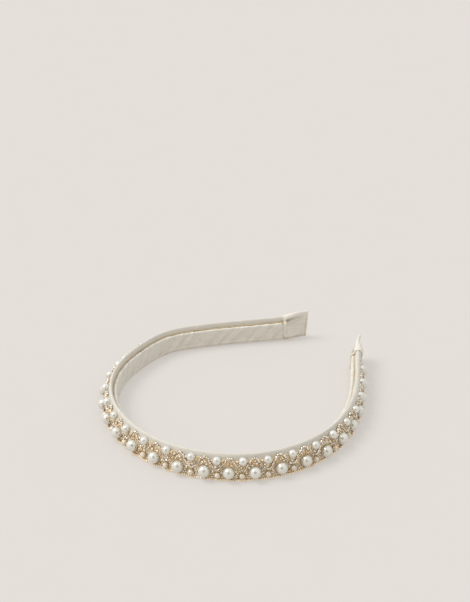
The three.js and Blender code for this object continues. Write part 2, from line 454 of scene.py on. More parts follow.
class Shader(Nodes):
    """A material made of nodes round one Principled shader."""

    def __init__(self, name, **sockets):
        self.material = bpy.data.materials.new(name)
        self.material.use_nodes = True
        super().__init__(self.material.node_tree)
        self.bsdf = self.tree.nodes["Principled BSDF"]
        for key, value in sockets.items():
            self.bsdf.inputs[key.replace("_", " ")].default_value = value

    def colour(self, value):
        self.feed(self.bsdf.inputs["Base Color"], value)

    def rough(self, value):
        self.feed(self.bsdf.inputs["Roughness"], value)

    def bump(self, *layers):
        """Each layer is (height, depth in millimetres); they add up."""
        normal = None
        for height, depth in layers:
            made = self.node("Bump", Strength=1.0, Distance=depth * MM)
            self.feed(made.inputs["Height"], height)
            if normal:
                self.feed(made.inputs["Normal"], normal)
            normal = made.outputs["Normal"]
        self.feed(self.bsdf.inputs["Normal"], normal)


# The brown mixed into the satin: glue and other brown marks, and painted shade in grooves, folds and
# along edges.
GLUE_AND_SHADE_BROWN = (0.42, 0.27, 0.11)
# Painted shade in the satin's folds.
SATIN_SHADE = (0.50, 0.48, 0.43)  # what a fold multiplies the satin's colour by, where it is deepest


def satin(name, light, shade):
    """Satin: long warp floats along the band, crossed by finer weft, with soft creases.

    The mesh brings the attribute band, one for painted shade in the folds, and one for brown glue marks
    with painted shade.
    """
    m = Shader(name, Sheen_Weight=0.25, Sheen_Roughness=0.45, Specular_IOR_Level=0.45, Anisotropic=0.35)
    band = m.attribute("band", "Vector")
    floats = m.noise(band, (0.5, 7.0, 7.0), 3.0, 0.6)
    weft = m.noise(band, (6.0, 0.8, 0.8), 2.0)
    creases = m.noise(band, (0.22, 0.5, 0.5), 4.0, 0.55)
    # The crease noise also sets the colour, from the shade colour to the light one: painted shade in the
    # creases.
    cloth = m.ramp(creases, (0.3, shade), (0.62, light))
    cloth = m.mix(0.15, cloth, m.ramp(floats, (0.3, (0.86, 0.85, 0.82)), (0.7, WHITE)), "MULTIPLY")
    # Painted shade in the folds, as strong as the shade attribute.
    painted_fold_shade = m.ramp(m.attribute("shade"), (0.0, WHITE), (1.0, SATIN_SHADE))
    cloth = m.mix(1.0, cloth, painted_fold_shade, "MULTIPLY")
    # Brown mixed in: glue marks, and painted shade in grooves and folds.
    m.colour(m.mix(m.attribute("stain_and_shade"), cloth, GLUE_AND_SHADE_BROWN))
    m.rough(m.grey(floats, 0.36, 0.52))
    m.bump((creases, 0.2), (floats, 0.03), (weft, 0.015))
    return m.material


def pearl_material():
    """Nacre: a milky body under a clear lacquer that mirrors the room."""
    m = Shader("pearl_nacre", Metallic=0.42, Coat_Weight=1.0, Coat_Roughness=0.04, Coat_IOR=1.7,
               Specular_IOR_Level=0.7, Thin_Film_Thickness=420.0, Thin_Film_IOR=1.38)
    bead = m.attribute("bead", "Vector")
    cloud = m.noise(bead, (0.5, 0.5, 0.5), 3.0)
    grain = m.noise(bead, (5.0, 5.0, 5.0), 2.0)
    shell = m.ramp(cloud, (0.3, (0.77, 0.74, 0.68)), (0.5, (0.80, 0.775, 0.73)),
                   (0.7, (0.78, 0.77, 0.72)))
    tone = m.ramp(m.attribute("tone"), (0.0, (0.94, 0.92, 0.88)), (1.0, WHITE))
    m.colour(m.mix(1.0, shell, tone, "MULTIPLY"))
    m.rough(m.grey(grain, 0.14, 0.22))
    m.bump((grain, 0.008))
    return m.material


def lined_glass_material():
    """Champagne glass with a silver lining: it mirrors, and painted dark lines along it stand for the
    dark reflections in its lining.
    """
    m = Shader("silver_lined_glass", Metallic=0.5, Coat_Weight=1.0, Coat_Roughness=0.03)
    bead = m.attribute("bead", "Vector")
    parts = m.node("SeparateXYZ")
    m.feed(parts.inputs["Vector"], bead)
    angle = m.maths("ARCTAN2", parts.outputs["Z"], parts.outputs["Y"])
    # Three dark lines round each bead: painted reflection of the dark side of the room.
    line_count = 3.0
    dark_reflections = m.maths("COSINE", m.maths("MULTIPLY", angle, line_count), 0.0)
    streak = m.noise(bead, (0.4, 4.0, 4.0), 2.0)
    body = m.ramp(m.attribute("tone"), (0.0, (1.0, 0.86, 0.65)), (0.4, (1.0, 0.93, 0.79)),
                  (1.0, (1.0, 0.98, 0.93)))
    with_reflections = m.mix(1.0, body, m.ramp(dark_reflections, (0.55, WHITE), (0.75, (0.26, 0.16, 0.07))), "MULTIPLY")
    streaks = m.ramp(streak, (0.38, (0.7, 0.58, 0.42)), (0.58, WHITE))
    m.colour(m.mix(0.5, with_reflections, streaks, "MULTIPLY"))
    m.rough(m.grey(streak, 0.1, 0.24))
    m.bump((streak, 0.03))
    return m.material


def seed_material():
    """Gold lustre glass, with a faint swirl in each bead."""
    m = Shader("gold_lustre_glass", Metallic=0.05, Coat_Weight=1.0, Coat_Roughness=0.04)
    swirl = m.noise(m.attribute("bead", "Vector"), (1.5, 1.5, 1.5), 2.0)
    body = m.ramp(m.attribute("tone"), (0.0, (0.93, 0.68, 0.38)), (0.4, (1.0, 0.85, 0.61)),
                  (1.0, (1.0, 0.98, 0.92)))
    m.colour(m.mix(0.2, body, m.ramp(swirl, (0.35, (0.8, 0.68, 0.54)), (0.65, WHITE)), "MULTIPLY"))
    m.rough(m.grey(swirl, 0.14, 0.3))
    m.bump((swirl, 0.02))
    return m.material


def crystal_material():
    """Cloudy champagne glass that light passes through."""
    m = Shader("champagne_crystal", Roughness=0.06, Transmission_Weight=0.4, IOR=1.52, Coat_Weight=1.0,
               Coat_Roughness=0.03)
    cloud = m.noise(m.attribute("bead", "Vector"), (1.1, 1.1, 1.1), 2.0)
    m.colour(m.ramp(cloud, (0.3, (0.97, 0.84, 0.64)), (0.7, (1.0, 0.95, 0.85))))
    m.rough(m.grey(cloud, 0.04, 0.12))
    return m.material


def gold_thread_material(name, dark, light, turns):
    """Metallic yarn: fine strands wound at a slant round the thread."""
    m = Shader(name, Metallic=0.05, Sheen_Weight=0.25, Sheen_Roughness=0.4)
    band = m.attribute("band", "Vector")
    slanted = m.mapped(band, Scale=(1.0, 0.35, 0.3))
    wave = m.fed("TexWave", slanted, "Fac", Scale=turns, Distortion=1.5, Detail=1.0)
    fleck = m.noise(band, (3.0, 3.0, 3.0), 3.0)
    m.colour(m.mix(0.5, m.ramp(wave, (0.2, dark), (0.8, light)),
                   m.ramp(fleck, (0.35, dark), (0.65, light))))
    m.rough(m.grey(fleck, 0.3, 0.6))
    m.bump((wave, 0.05), (fleck, 0.02))
    return m.material


def net_material():
    """Champagne net: crossing yarns with darker holes between them."""
    m = Shader("champagne_net", Metallic=0.08, Sheen_Weight=0.2, Sheen_Roughness=0.5)
    band = m.attribute("band", "Vector")
    yarns = []
    for turn in (0.6, -0.6):
        turned = m.mapped(band, Rotation=(0, 0, turn))
        yarns.append(m.fed("TexWave", turned, "Fac", Scale=0.55, Distortion=0.6, Detail=1.0))
    weave = m.maths("MAXIMUM", *yarns)
    fleck = m.noise(band, (2.2, 2.2, 2.2), 3.0)
    net = m.ramp(weave, (0.35, (1.0, 0.72, 0.42)), (0.8, (1.0, 0.88, 0.64)))
    m.colour(m.mix(0.4, net, m.ramp(fleck, (0.35, (1.0, 0.76, 0.46)), (0.65, (1.0, 0.92, 0.72)))))
    m.rough(m.grey(fleck, 0.4, 0.7))
    m.bump((weave, 0.15), (fleck, 0.04))
    return m.material


def foam_material():
    """Open foam, shown by the outlines of its cells."""
    m = Shader("pad_foam", Roughness=0.95)
    band = m.attribute("band", "Vector")
    cells = m.fed("TexVoronoi", band, "Distance", Scale=2.5)
    m.colour(m.ramp(cells, (0.1, (0.55, 0.5, 0.4)), (0.6, (0.72, 0.69, 0.6))))
    m.bump((cells, 0.1))
    return m.material


def steel_material():
    """Spring steel, brushed along its length."""
    m = Shader("spring_steel", Metallic=1.0, Roughness=0.3)
    band = m.attribute("band", "Vector")
    brushed = m.noise(band, (0.3, 9.0, 9.0), 3.0)
    m.colour(m.ramp(brushed, (0.3, (0.42, 0.43, 0.44)), (0.7, (0.6, 0.61, 0.62))))
    m.rough(m.grey(brushed, 0.22, 0.4))
    m.bump((brushed, 0.01))
    return m.material


SATIN = satin("ivory_satin", (0.625, 0.592, 0.523), (0.59, 0.555, 0.485))
WRAP = satin("wrap_satin", (0.745, 0.715, 0.64), (0.70, 0.665, 0.585))
CAP = satin("cap_satin", (0.72, 0.69, 0.615), (0.66, 0.62, 0.54))
PEARL = pearl_material()
LINED_GLASS = lined_glass_material()
GOLD_GLASS = seed_material()
CRYSTAL = crystal_material()
ZARI = gold_thread_material("gold_yarn", (1.0, 0.70, 0.38), (1.0, 0.90, 0.66), 2.2)
STITCH = gold_thread_material("brown_stitch", (0.50, 0.36, 0.17), (0.78, 0.62, 0.38), 2.5)
NET = net_material()
FOAM = foam_material()
STEEL = steel_material()


# ---- how pieces follow the two bodies ----

def follow(obj, slot, *nodes, side=None):
    """Lets the piece ride on one half, or fixes its place in its mesh across the crown, and hides the CAD
    parts it stands for.
    """
    if side:
        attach(obj, f"{side}_half")
    else:
        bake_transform(obj)
    if nodes:
        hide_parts(*nodes)
    return obj


def both(node):
    return f"{node}_left", f"{node}_right"


def side_of(s):
    """The half a small piece rides on, or None where it has to bend with the crown."""
    widest = LARGE_R + 0.15  # about half the width of a large pearl and its loop
    if abs(s) < FLEX_ZONE + widest:
        return None
    return "left" if s < 0 else "right"


# ---- satin body ----

COVER_TOP_POWER, COVER_LOW_POWER, COVER_INNER_POWER = 2.3, 3.6, 3.0  # as in oval_loop
TAPER, TAPER_START = 0.09, 5.05  # the body thins towards its upper edge, from this height
FOAM_INSET = 0.6

# The padding stands out over the trim's upper edge, towards the right tip.
BULGE, BULGE_START, BULGE_LENGTH = 0.8, 100, 40
BULGE_Z, BULGE_WIDTH = 11, 2.2
BULGE_U, BULGE_DEPTH = -2.4, 1.4  # only the outer side: from none at this u to all of it

GLUE_R, GLUE_TUCK = 0.7, 0.4  # a drop of glue, and how far its middle lies outside the cap
GROOVE_U = -2.3  # the cover's inner side starts here


def taper(z):
    """How much further in the outer face lies at a height. The inner face stays where it is."""
    return TAPER * np.maximum(np.asarray(z, float) - TAPER_START, 0)


def face_u(z):
    """How far out the satin face lies at a height: upright below, rounding inwards to the top."""
    half = BAND_HEIGHT / 2
    edge = 0.999  # just inside the outline's ends, where it turns level
    height = np.clip((np.asarray(z, float) - half) / half, -edge, edge)
    power = np.where(height > 0, COVER_TOP_POWER, COVER_LOW_POWER)
    reach = (1 - np.abs(height)**power)**(1 / power)
    return BODY_THICKNESS / 2 * (reach - 1) - taper(z)


def trim_u(z):
    """Where the trim lies: on the satin face, spreading outwards along its lower edge."""
    return face_u(z) + FLARE * bell(np.asarray(z, float), 0, FLARE_HEIGHT)


def cover_loop(count):
    """The padded body's outline."""
    powers = (COVER_TOP_POWER, COVER_INNER_POWER, COVER_INNER_POWER, COVER_LOW_POWER)
    u, z, nu, nz, around = oval_loop(-BODY_THICKNESS, 0, 0, BAND_HEIGHT, count, powers)
    return u - taper(z) * (1 + u / BODY_THICKNESS), z, nu, nz, around


def wrap_loop(count):
    """The outline of the ribbon round the spring."""
    return oval_loop(WRAP_INNER, WRAP_OUTER, WRAP_LOW, WRAP_HIGH, count, (6, 6, 6, 6))


def glue_spot(s, z):
    """The stain of the glue where the groove runs into each cap, for z from the middle of the groove."""
    return 0.85 * bell(np.abs(s), CAP_START - GLUE_TUCK, GLUE_R) * bell(z, 0, GLUE_R)


def bulge(s, u, z):
    """How far the padding stands out at a point of the outline."""
    reach = BULGE * rise(s, BULGE_START, BULGE_LENGTH)
    return reach * bell(z, BULGE_Z, BULGE_WIDTH) * rise(u, BULGE_U, BULGE_DEPTH)


def build_cover():
    """The padded outer body: soft, a little uneven, with puckers along its edges."""
    def offset(s, u, z, around):
        broad = 0.10 * ripple(s, around, 30, 60, 11) + 0.05 * ripple(s, around, 9, 12, 12)
        edge = bell(z, BAND_HEIGHT, 1.6) + bell(z, 0, 1.6)
        pucker = ripple(s + 0.5 * z, around, 3.0, 25, 13)
        return broad + 0.05 * edge * pucker + bulge(s, u, z)

    def stain_and_shade(s, u, z):
        # A brown line along the groove over the seam: glue, with painted shade in the groove.
        seam_line = 0.3 * bell(z, SEAM_Z, 0.4)
        return (seam_line + glue_spot(s, z - SEAM_Z)) * (u < GROOVE_U)

    along = stations(CAP_START + COVER_TUCK, 0.8)
    cover = sweep("satin_cover", along, cover_loop(60), SATIN, offset, stain_and_shade)
    follow(cover, "satin", *both("cover"))


def build_padding():
    """The foam that fills the cover."""
    u, z, nu, nz, around = cover_loop(36)
    loop = (u - FOAM_INSET * nu, z - FOAM_INSET * nz, nu, nz, around)
    foam = sweep("foam_strip", stations(CAP_START, 3.0), loop, FOAM)
    follow(foam, "foam", *both("padding"))


def build_core():
    """The flat spring inside the wrap."""
    middle, half = (WRAP_OUTER + WRAP_INNER) / 2, CORE_THICKNESS / 2
    low, high = WRAP_LOW + CORE_MARGIN, WRAP_HIGH - CORE_MARGIN
    loop = oval_loop(middle - half, middle + half, low, high, 24, (8, 8, 8, 8))
    core = sweep("spring_core", stations(CAP_START + WRAP_TUCK, 3.0), loop, STEEL)
    follow(core, "spring", *both("core"))


WRAP_TURN, WRAP_SLANT = 8.6, -0.9  # the length of a turn, and how far its edge leans for each mm up
WRAP_STEP = 0.17  # the height of the step at a turn's edge
FOLD_Z, FOLD_DEPTH = 2.6, 0.26  # below the fold line the ribbon is double
WRAP_FACE_U = -4.4  # the face towards the head lies beyond this


def build_wrap():
    """Ribbon wound round the core: each turn's edge is a slanted step, and its lower edge is folded."""
    def wound(s, z):
        """How far a point is through its turn, from 0 at the turn's edge to 1."""
        turn = (s - WRAP_SLANT * z + 3.0 * ripple(s, z, 30, 60, 21)) / WRAP_TURN
        return turn - np.floor(turn)

    def fold_line(s):
        return FOLD_Z + 0.3 * ripple(s, 0, 35, 9, 23)

    def offset(s, u, z, around):
        phase = wound(s, z)
        step = WRAP_STEP * np.clip(phase / 0.05, 0, 1) * (1 - phase)**1.3
        slack = 0.06 * ripple(s - WRAP_SLANT * z, z, 2.6, 40, 22)
        inner_half = u < (WRAP_OUTER + WRAP_INNER) / 2
        fold = FOLD_DEPTH / (1 + np.exp((z - fold_line(s)) / 0.12))
        groove = 0.14 * bell(z - fold_line(s), 0.5, 0.3)
        return step + slack + inner_half * (fold - groove)

    def stain_and_shade(s, u, z):
        # Painted shade along the fold line, where the folded strip stands out below it.
        line = 0.3 * bell(z - fold_line(s), 0.3, 0.2)
        # Darker and browner towards the wrap's lower edge.
        foot = 0.3 * bell(z, WRAP_LOW, 0.8)
        # The strength of both varies at random along the band.
        patchy = np.clip(0.5 + 0.5 * ripple(s, z, 14, 50, 24), 0, 1)
        return (u < WRAP_FACE_U) * (line * patchy + foot * (0.6 + 0.4 * patchy)) + glue_spot(s, z - SEAM_Z)

    # Painted shade across each turn: light at its edge, darker towards the next.
    def shade(s, u, z):
        phase = wound(s, z)
        return 0.03 + 0.15 * phase**0.6 + 0.07 * ripple(s - WRAP_SLANT * z, z, 5, 60, 25)

    end = CAP_START + WRAP_TUCK
    wrap = sweep("ribbon_wrap", stations(end, 0.4), wrap_loop(72), WRAP, offset, stain_and_shade, shade)
    follow(wrap, "wrap", *both("wrap"))


def build_seam():
    """The brown glued thread in the groove over the wrap."""
    s = stations(CAP_START, 0.7)
    wander = 0.05 * ripple(s, 0, 18, 9, 31)
    seam = thread("seam_thread", s, SEAM_U + wander, SEAM_Z + 1.2 * wander, SEAM_R, STITCH, lay=0.12)
    follow(seam, "thread", *both("seam_thread"))


# ---- end caps ----

SLEEVE_U, SLEEVE_Z = -2.4, 6.2  # the sleeve's middle at its mouth
SLEEVE_POINTS, SLEEVE_RINGS = 96, 56
MOUTH_LOOSE, BODY_LOOSE = 0.2, 0.4  # how far it stands off at its mouth, and how much more behind it
HEM_WIDTH, HEM_THICKNESS = 1.5, 0.10
SAG, SAG_DEPTH = 0.85, 0.5  # the fold over the groove: its height as a share, and its depth
PLEAT, PLEAT_HEIGHT, PLEAT_DROP = 0.10, 0.30, 0.10  # a crease; its height and its drop are shares
PINCH_FLARE = 0.3  # the pinched end's top corner leans out
STITCH_R, STITCH_U, STITCH_COUNT = 0.08, -5.5, 6
STITCH_TUCK = 1.72  # from the cap's mouth to its stitches, just behind the hem


def snug_loop(count):
    """The sleeve's outline where it is drawn tight round the cover and the wrap together."""
    window, blur = 0.09, 7  # in radians, and in degrees
    cover, wrap = cover_loop(240), wrap_loop(240)
    u = np.concatenate([cover[0], wrap[0]]) - SLEEVE_U
    z = np.concatenate([cover[1], wrap[1]]) - SLEEVE_Z
    turn = np.linspace(0, 2 * np.pi, 361)
    apart = np.abs((np.arctan2(z, u) - turn[:, None] + np.pi) % (2 * np.pi) - np.pi)
    reach = np.where(apart < window, np.hypot(u, z), 0).max(1)
    reach = np.mean([np.roll(reach[:-1], k) for k in range(-blur, blur + 1)], axis=0)
    reach = np.append(reach, reach[0])
    return even_loop(SLEEVE_U + reach * np.cos(turn), SLEEVE_Z + reach * np.sin(turn), count)


SNUG = snug_loop(SLEEVE_POINTS)


def cap_stain_and_shade(d, share, z, z_floor, height, inner, outline_u):
    """Brown marks along the cap's foot and low on its mouth, glue in the groove, and painted shade: a
    faint line along the hem's edge, and a line across its pinched end where it folds.
    """
    foot = bell(np.maximum(z_floor + share - 1, 0), 0, 0.8) * (0.8 - 0.4 * share)
    # Painted shade along the hem's edge, with brown marks low on it.
    mouth = bell(d, 0, 0.45) * (0.15 + 0.6 * bell(z, 2.2, 1.0)) * inner
    glue = 0.8 * bell(d, 0, 0.6) * bell(z, SEAM_Z, 0.6) * (outline_u < -2.8)
    # Painted shade along the fold just before the tip.
    end_line = 0.5 * bell(d, CAP_LENGTH - 0.9, 0.25) * (height < 0.72) * inner
    return np.clip(foot + mouth + glue + end_line, 0, 0.85)


def build_cap(side, sign):
    """A satin sleeve over the tip: a hemmed mouth, a hollow over the groove and a pinched end."""
    tall = PINCH_HEIGHT[side]
    powers = (3.5, 5, 6, 5)
    pinched = oval_loop(PINCH_U - PINCH_HALF, PINCH_U + PINCH_HALF, 0, tall, SLEEVE_POINTS, powers)
    rings, bands, stain_and_shade_values, shades = [], [], [], []

    def ring(d, push, reach=None):
        """A ring at d from the mouth, pushed outwards. reach is where it goes if that isn't d."""
        share = rise(d, HEM_WIDTH, CAP_LENGTH - HEM_WIDTH)
        u, z, nu, nz, around = (a + (b - a) * share for a, b in zip(SNUG, pinched))
        top = np.interp(d, (HEM_WIDTH, 0.6 * CAP_LENGTH), (SNUG[1].max(), tall))
        z = z * top / z.max()
        height = z / top
        inner = np.clip(-2 * nu, 0, 1)
        fading = rise(d, 1.4, 0.6) * np.clip(1.2 - d / 10, 0, 1)
        fold = (SAG - 0.19, SAG - 0.07, SAG, SAG + 0.07)
        hollow = np.interp(height, fold, (0, 1, 1, 0)) * fading * (u < u.mean())
        pleat = PLEAT * share * bell(height, PLEAT_HEIGHT - PLEAT_DROP * share, 0.05) * inner
        hem = HEM_THICKNESS / (1 + math.exp((d - HEM_WIDTH) / 0.07))
        loose = MOUTH_LOOSE + BODY_LOOSE * rise(d, 0, 2.5) * (1 - share)
        soft = 0.08 * ripple(d * sign + 3, z, 4.5, 5.5, 41 + sign)
        drawn_in = (bulge(sign * CAP_START, u, z) - SAG_DEPTH * hollow) * (1 - share)
        total = push + loose + hem + soft - pleat + drawn_in
        s = sign * (CAP_START + (d if reach is None else reach) - share * (1 - height))
        z_floor = np.maximum(z + nz * total, FLOOR_GAP)
        lean = PINCH_FLARE * share**3 * np.clip(height - 0.8, 0, 1) / 0.2
        rings.append(place(s, u + nu * total + lean, z_floor))
        bands.append(np.stack([np.broadcast_to(s, u.shape), around, z_floor], -1))
        stain_and_shade_values.append(cap_stain_and_shade(d, share, z, z_floor, height, inner, u) * (push > -0.1))
        # The hollow also darkens the satin: painted shade in the fold over the groove.
        shades.append(hollow)

    for push, reach in ((-0.95, 0.8), (-0.90, None), (-0.12, None)):  # the mouth's inside and its lip
        ring(0, push, reach)
    for d in np.linspace(0, 1, SLEEVE_RINGS)**0.9 * CAP_LENGTH:
        ring(d, 0)
    for shrink, out in ((0.35, 0.12), (0.5, 0.16)):  # the end closes
        ring(CAP_LENGTH, -shrink, CAP_LENGTH + out)
    marks = {"band": np.concatenate(bands), "stain_and_shade": np.concatenate(stain_and_shade_values),
             "shade": np.concatenate(shades)}
    faces = ring_faces(len(rings), SLEEVE_POINTS)
    cap = make_object(f"end_cap_{side}", np.concatenate(rings), faces, CAP, marks)
    follow(cap, "satin", f"cap_{side}", side=side)


def build_cap_stitches(side, sign):
    """The thread that closes the cap, under and over along its inner face."""
    z = np.linspace(WRAP_LOW, 9.6, 140)
    share = (z - z[0]) / (z[-1] - z[0])
    u = STITCH_U + 0.16 * np.cos(2 * np.pi * STITCH_COUNT * share)
    s = sign * (CAP_START + STITCH_TUCK)
    stitch = thread(f"cap_stitches_{side}", s, u, z, STITCH_R, STITCH, 6)
    follow(stitch, "thread", f"cap_stitch_{side}", side=side)


# ---- beaded trim ----

TRIM_END = CAP_START - 0.5
TAPE_LOW, TAPE_HIGH = 0.3, 9.9
TAPE_SWING, TAPE_SCALLOP = 0.4, 0.1  # how much its upper and lower edges wave
ZIGZAGS = ((5, 0.0), (5, 0.5), (3, 0.25))  # for each yarn: swings in a pitch, and where they start


def beat(s, turns=1):
    """A cosine along the band, at 1 over the crown, with this many turns in each pitch."""
    return np.cos(2 * np.pi * s / PITCH * turns)


def tape_top(s):
    """The net's upper edge: it rises over each large pearl and dips behind each small one."""
    return TAPE_HIGH - TAPE_SWING * beat(s)


def build_tape():
    """The net that carries the beads: a thin strip over the satin's outer face."""
    steps = 18
    s = stations(TRIM_END, 0.6)
    low = TAPE_LOW + TAPE_SCALLOP * beat(s, 3)
    share = np.linspace(0, 1, steps)
    front = low[:, None] + (tape_top(s) - low)[:, None] * share
    z = np.concatenate([front, front[:, ::-1]], 1)
    u_front = trim_u(front) + TAPE_RISE + 0.05 * ripple(s[:, None], front, 4, 4, 51)
    u = np.concatenate([u_front, u_front[:, ::-1] - TAPE_THICKNESS], 1)
    points = place(s[:, None], u, z)
    marks = {"band": np.stack([s[:, None] + 0 * z, z, u], -1).reshape(-1, 3)}
    tape = make_object("net_tape", points, ring_faces(len(s), 2 * steps), NET, marks)
    follow(tape, "tape", *both("tape"))


def wave_height(s):
    """The wave's height: lowest under each small pearl, highest over each large one."""
    return (WAVE_HIGH + WAVE_LOW) / 2 - (WAVE_HIGH - WAVE_LOW) / 2 * beat(s)


def build_embroidery():
    """Gold yarn that holds the beads: zigzags across the net and a cord along each edge."""
    s = stations(TRIM_END, 0.35)
    low, high = 0.7, tape_top(s) - 0.25
    for index, (turns, shift) in enumerate(ZIGZAGS):
        swing = np.abs(((s / PITCH * turns + shift) % 1) * 2 - 1)
        z = low + (high - low) * swing
        u = trim_u(z) + TAPE_RISE + 0.12 + 0.06 * index  # each yarn lies over the one before
        yarn = thread(f"gold_zigzag_{index + 1}", s, u, z, YARN_R, ZARI, 6)
        follow(yarn, "tape")
    for name, z in (("top", tape_top(s) + 0.02), ("bottom", 0.42 + 0 * s)):
        cord = thread(f"gold_cord_{name}", s, trim_u(z) + TAPE_RISE, z, CORD_R, ZARI, 8, lay=0.18)
        follow(cord, "tape")


def bead_places(first):
    """Distances from the crown of one row of beads, up to the cap."""
    return np.arange(first, CAP_START - LARGE_R, PITCH)


# Sewn by hand: amounts along the band, slack over the crown and to its right, tight beyond that.
CROWN_SLACK, ARM_SLACK, ARM_TIGHT = 1.4, 1.1, 2.0
LARGE_SINK = 1.1  # towards the right tip the large pearls sink into the padding
SMALL_DROP_LEFT, SMALL_DROP_RIGHT = 1.7, 0.6  # away from the crown the small pearls sit lower


def sewn(s):
    """Where a bead meant for s ends up."""
    slack = CROWN_SLACK * bell(s, 20, 38) + ARM_SLACK * rise(s, -10, 20)
    return s + slack - ARM_TIGHT * rise(s, 25, 40)


def large_u(s):
    return LARGE_U - LARGE_SINK * rise(s, 100, 30)


def small_z(s):
    return SMALL_Z - SMALL_DROP_LEFT * rise(-s, 55, 30) - SMALL_DROP_RIGHT * rise(s, 100, 20)


def hand(spread):
    """A random error of the sewing hand, or of the bead."""
    return rng.normal(0, spread)


def spin():
    """A random turn of a bead about its thread."""
    return rng.uniform(0, 6)


def sew_pearl(name, template, s, u, z, spread, uneven):
    """One pearl as a piece of its own. spread is its error along the band, uneven that of its size."""
    beads = Beads()
    axis = (1, hand(0.15), hand(0.15))
    beads.add(template, sewn(s) + hand(spread), u + hand(0.08), z + hand(0.12), axis,
              spin(), 1 + hand(uneven))
    return beads.build(name, PEARL)


def build_pearls():
    """The row of large pearls and the row of small ones, on each half from the crown outwards."""
    large = lathe(ball_profile(LARGE_R, LARGE_HOLE, 22), 32)
    small = lathe(ball_profile(SMALL_R, SMALL_HOLE, 16), 24)
    for side, sign in SIDES:
        for index, distance in enumerate(bead_places(PITCH / 2)):
            s, label = sign * distance, f"{side}_{index + 1:02d}"
            pearl = sew_pearl(f"pearl_bead_{label}", large, s, large_u(s), LARGE_Z, 0.15, 0.012)
            follow(pearl, "pearl", f"pearl_{label}", side=side_of(s))
        for index, distance in enumerate(bead_places(0 if side == "left" else PITCH)):
            s, label = sign * distance, f"{side}_{index + 1:02d}"
            pearl = sew_pearl(f"small_pearl_{label}", small, s, SMALL_U, small_z(s), 0.2, 0.02)
            nodes = [f"small_pearls_{side}"] if index == 0 else []
            follow(pearl, "pearl", *nodes, side=side_of(s))


def build_pearl_rings():
    """A couched loop of gold yarn round the foot of each large pearl."""
    angle = np.linspace(0, 2 * np.pi, 37)[:-1]
    radius = LARGE_R + 0.05
    z = LARGE_Z + radius * np.sin(angle)
    u = face_u(z) + TAPE_RISE + 2 * LOOP_R
    for side, sign in SIDES:
        for index, s in enumerate(bead_places(PITCH / 2)):
            spot = sewn(sign * s) + radius * np.cos(angle)
            name = f"pearl_loop_{side}_{index + 1:02d}"
            loop = thread(name, spot, u, z, LOOP_R, ZARI, 6, lay=0.15, closed=True)
            follow(loop, "tape", side=side_of(sign * s))


SEED = lathe(seed_profile(SEED_R, SEED_LENGTH, SEED_HOLE), 12)
FINE_SEED = lathe(seed_profile(FINE_R, FINE_LENGTH, FINE_HOLE), 12)
BUGLE = lathe(bugle_profile(BUGLE_R, BUGLE_LENGTH, BUGLE_HOLE), 14)
BUGLED_FLANK = (("bugle", BUGLE_LENGTH),) * 3 + (("seed", SEED_LENGTH),)
SEEDED_FLANK = (("seed", SEED_LENGTH),) * 8
SEEDED_SHARE = 0.3  # of the wave's flanks


def build_wave():
    """Bugle beads up and down between the two rows of pearls, with a seed bead at each turn."""
    bugles, seeds = Beads(), Beads()
    last = bead_places(PITCH / 2)[-1]
    spare, reach = 3.2, 0.4  # curve beyond the last turn, and the reach for its direction
    fine = np.arange(-last - spare, last + spare, 0.05)
    run = running(np.hypot(np.diff(fine), np.diff(wave_height(fine))))
    flanks = int(last // (PITCH / 2))
    turns = np.arange(-flanks, flanks + 1) * PITCH / 2

    def put(kind, distance, tone=None):
        """One bead at a distance along the strand."""
        s = float(np.interp(distance, run, fine))
        ahead = float(np.interp(distance + reach, run, fine))
        behind = float(np.interp(distance - reach, run, fine))
        along = (ahead - behind, hand(0.12), float(wave_height(ahead) - wave_height(behind)))
        z = float(wave_height(s)) + hand(0.1)
        beads, template = (bugles, BUGLE) if kind == "bugle" else (seeds, SEED)
        beads.add(template, sewn(s) + hand(0.05), float(face_u(z)) + WAVE_RISE + hand(0.08), z, along,
                  spin(), 1 + hand(0.02), tone)

    for start, end in zip(turns[:-1], turns[1:]):
        from_run, to_run = np.interp([start, end], fine, run)
        put("seed", from_run, rng.uniform(0.5, 1))
        rising = wave_height(end) > wave_height(start)
        row = SEEDED_FLANK if rng.uniform() < SEEDED_SHARE else BUGLED_FLANK
        room = to_run - from_run - SEED_LENGTH
        spacing = room / sum(length for _, length in row)
        distance = 0
        for kind, length in row:
            middle = SEED_LENGTH / 2 + (distance + length / 2) * spacing
            put(kind, from_run + middle if rising else to_run - middle)
            distance += length
    put("seed", np.interp(turns[-1], fine, run))
    follow(bugles.build("bugle_beads", LINED_GLASS), "bugle", *both("wave"))
    follow(seeds.build("wave_seed_beads", LINED_GLASS), "bugle")
    line = np.arange(-last, last, 0.5)
    z = wave_height(line)
    strand = thread("wave_thread", line, face_u(z) + WAVE_RISE, z, STRAND_R, ZARI, 6)
    follow(strand, "thread")


EDGE_PITCH = PITCH / 13  # between the seeds of the lower edge
EDGE_Z, EDGE_U = 0.65, 0.95  # their height, and how far they stand off the trim
FILL_STEP, FILL_U, FILL_SHARE = 1.28, 0.72, 0.85
FILL_LOW, FILL_HIGH = 1.55, 10.2


def build_lower_beads():
    """A crystal low between each two large pearls, and a chain of gold seeds along the lower edge."""
    crystal = lathe(ball_profile(CRYSTAL_R, CRYSTAL_HOLE, 9), 12)
    crystals, edge = Beads(), Beads()
    for k in range(1 - len(bead_places(0)), len(bead_places(0))):
        crystals.add(crystal, sewn(k * PITCH) + hand(0.15), CRYSTAL_U, CRYSTAL_Z + hand(0.1),
                     (1, 0, hand(0.2)), spin())
    for s in np.arange(-TRIM_END + 1, TRIM_END - 0.5, EDGE_PITCH):
        z = EDGE_Z + 0.1 * beat(s, 2)
        edge.add(FINE_SEED, s + hand(0.05), float(trim_u(z)) + EDGE_U + hand(0.06), z,
                 (1, 0, hand(0.1)), 0.0, 1 + hand(0.05), rng.uniform(0, 0.8))
    follow(crystals.build("crystal_beads", CRYSTAL), "crystal", *both("crystals"))
    follow(edge.build("edge_seed_beads", GOLD_GLASS), "seed", *both("seed_edge"))


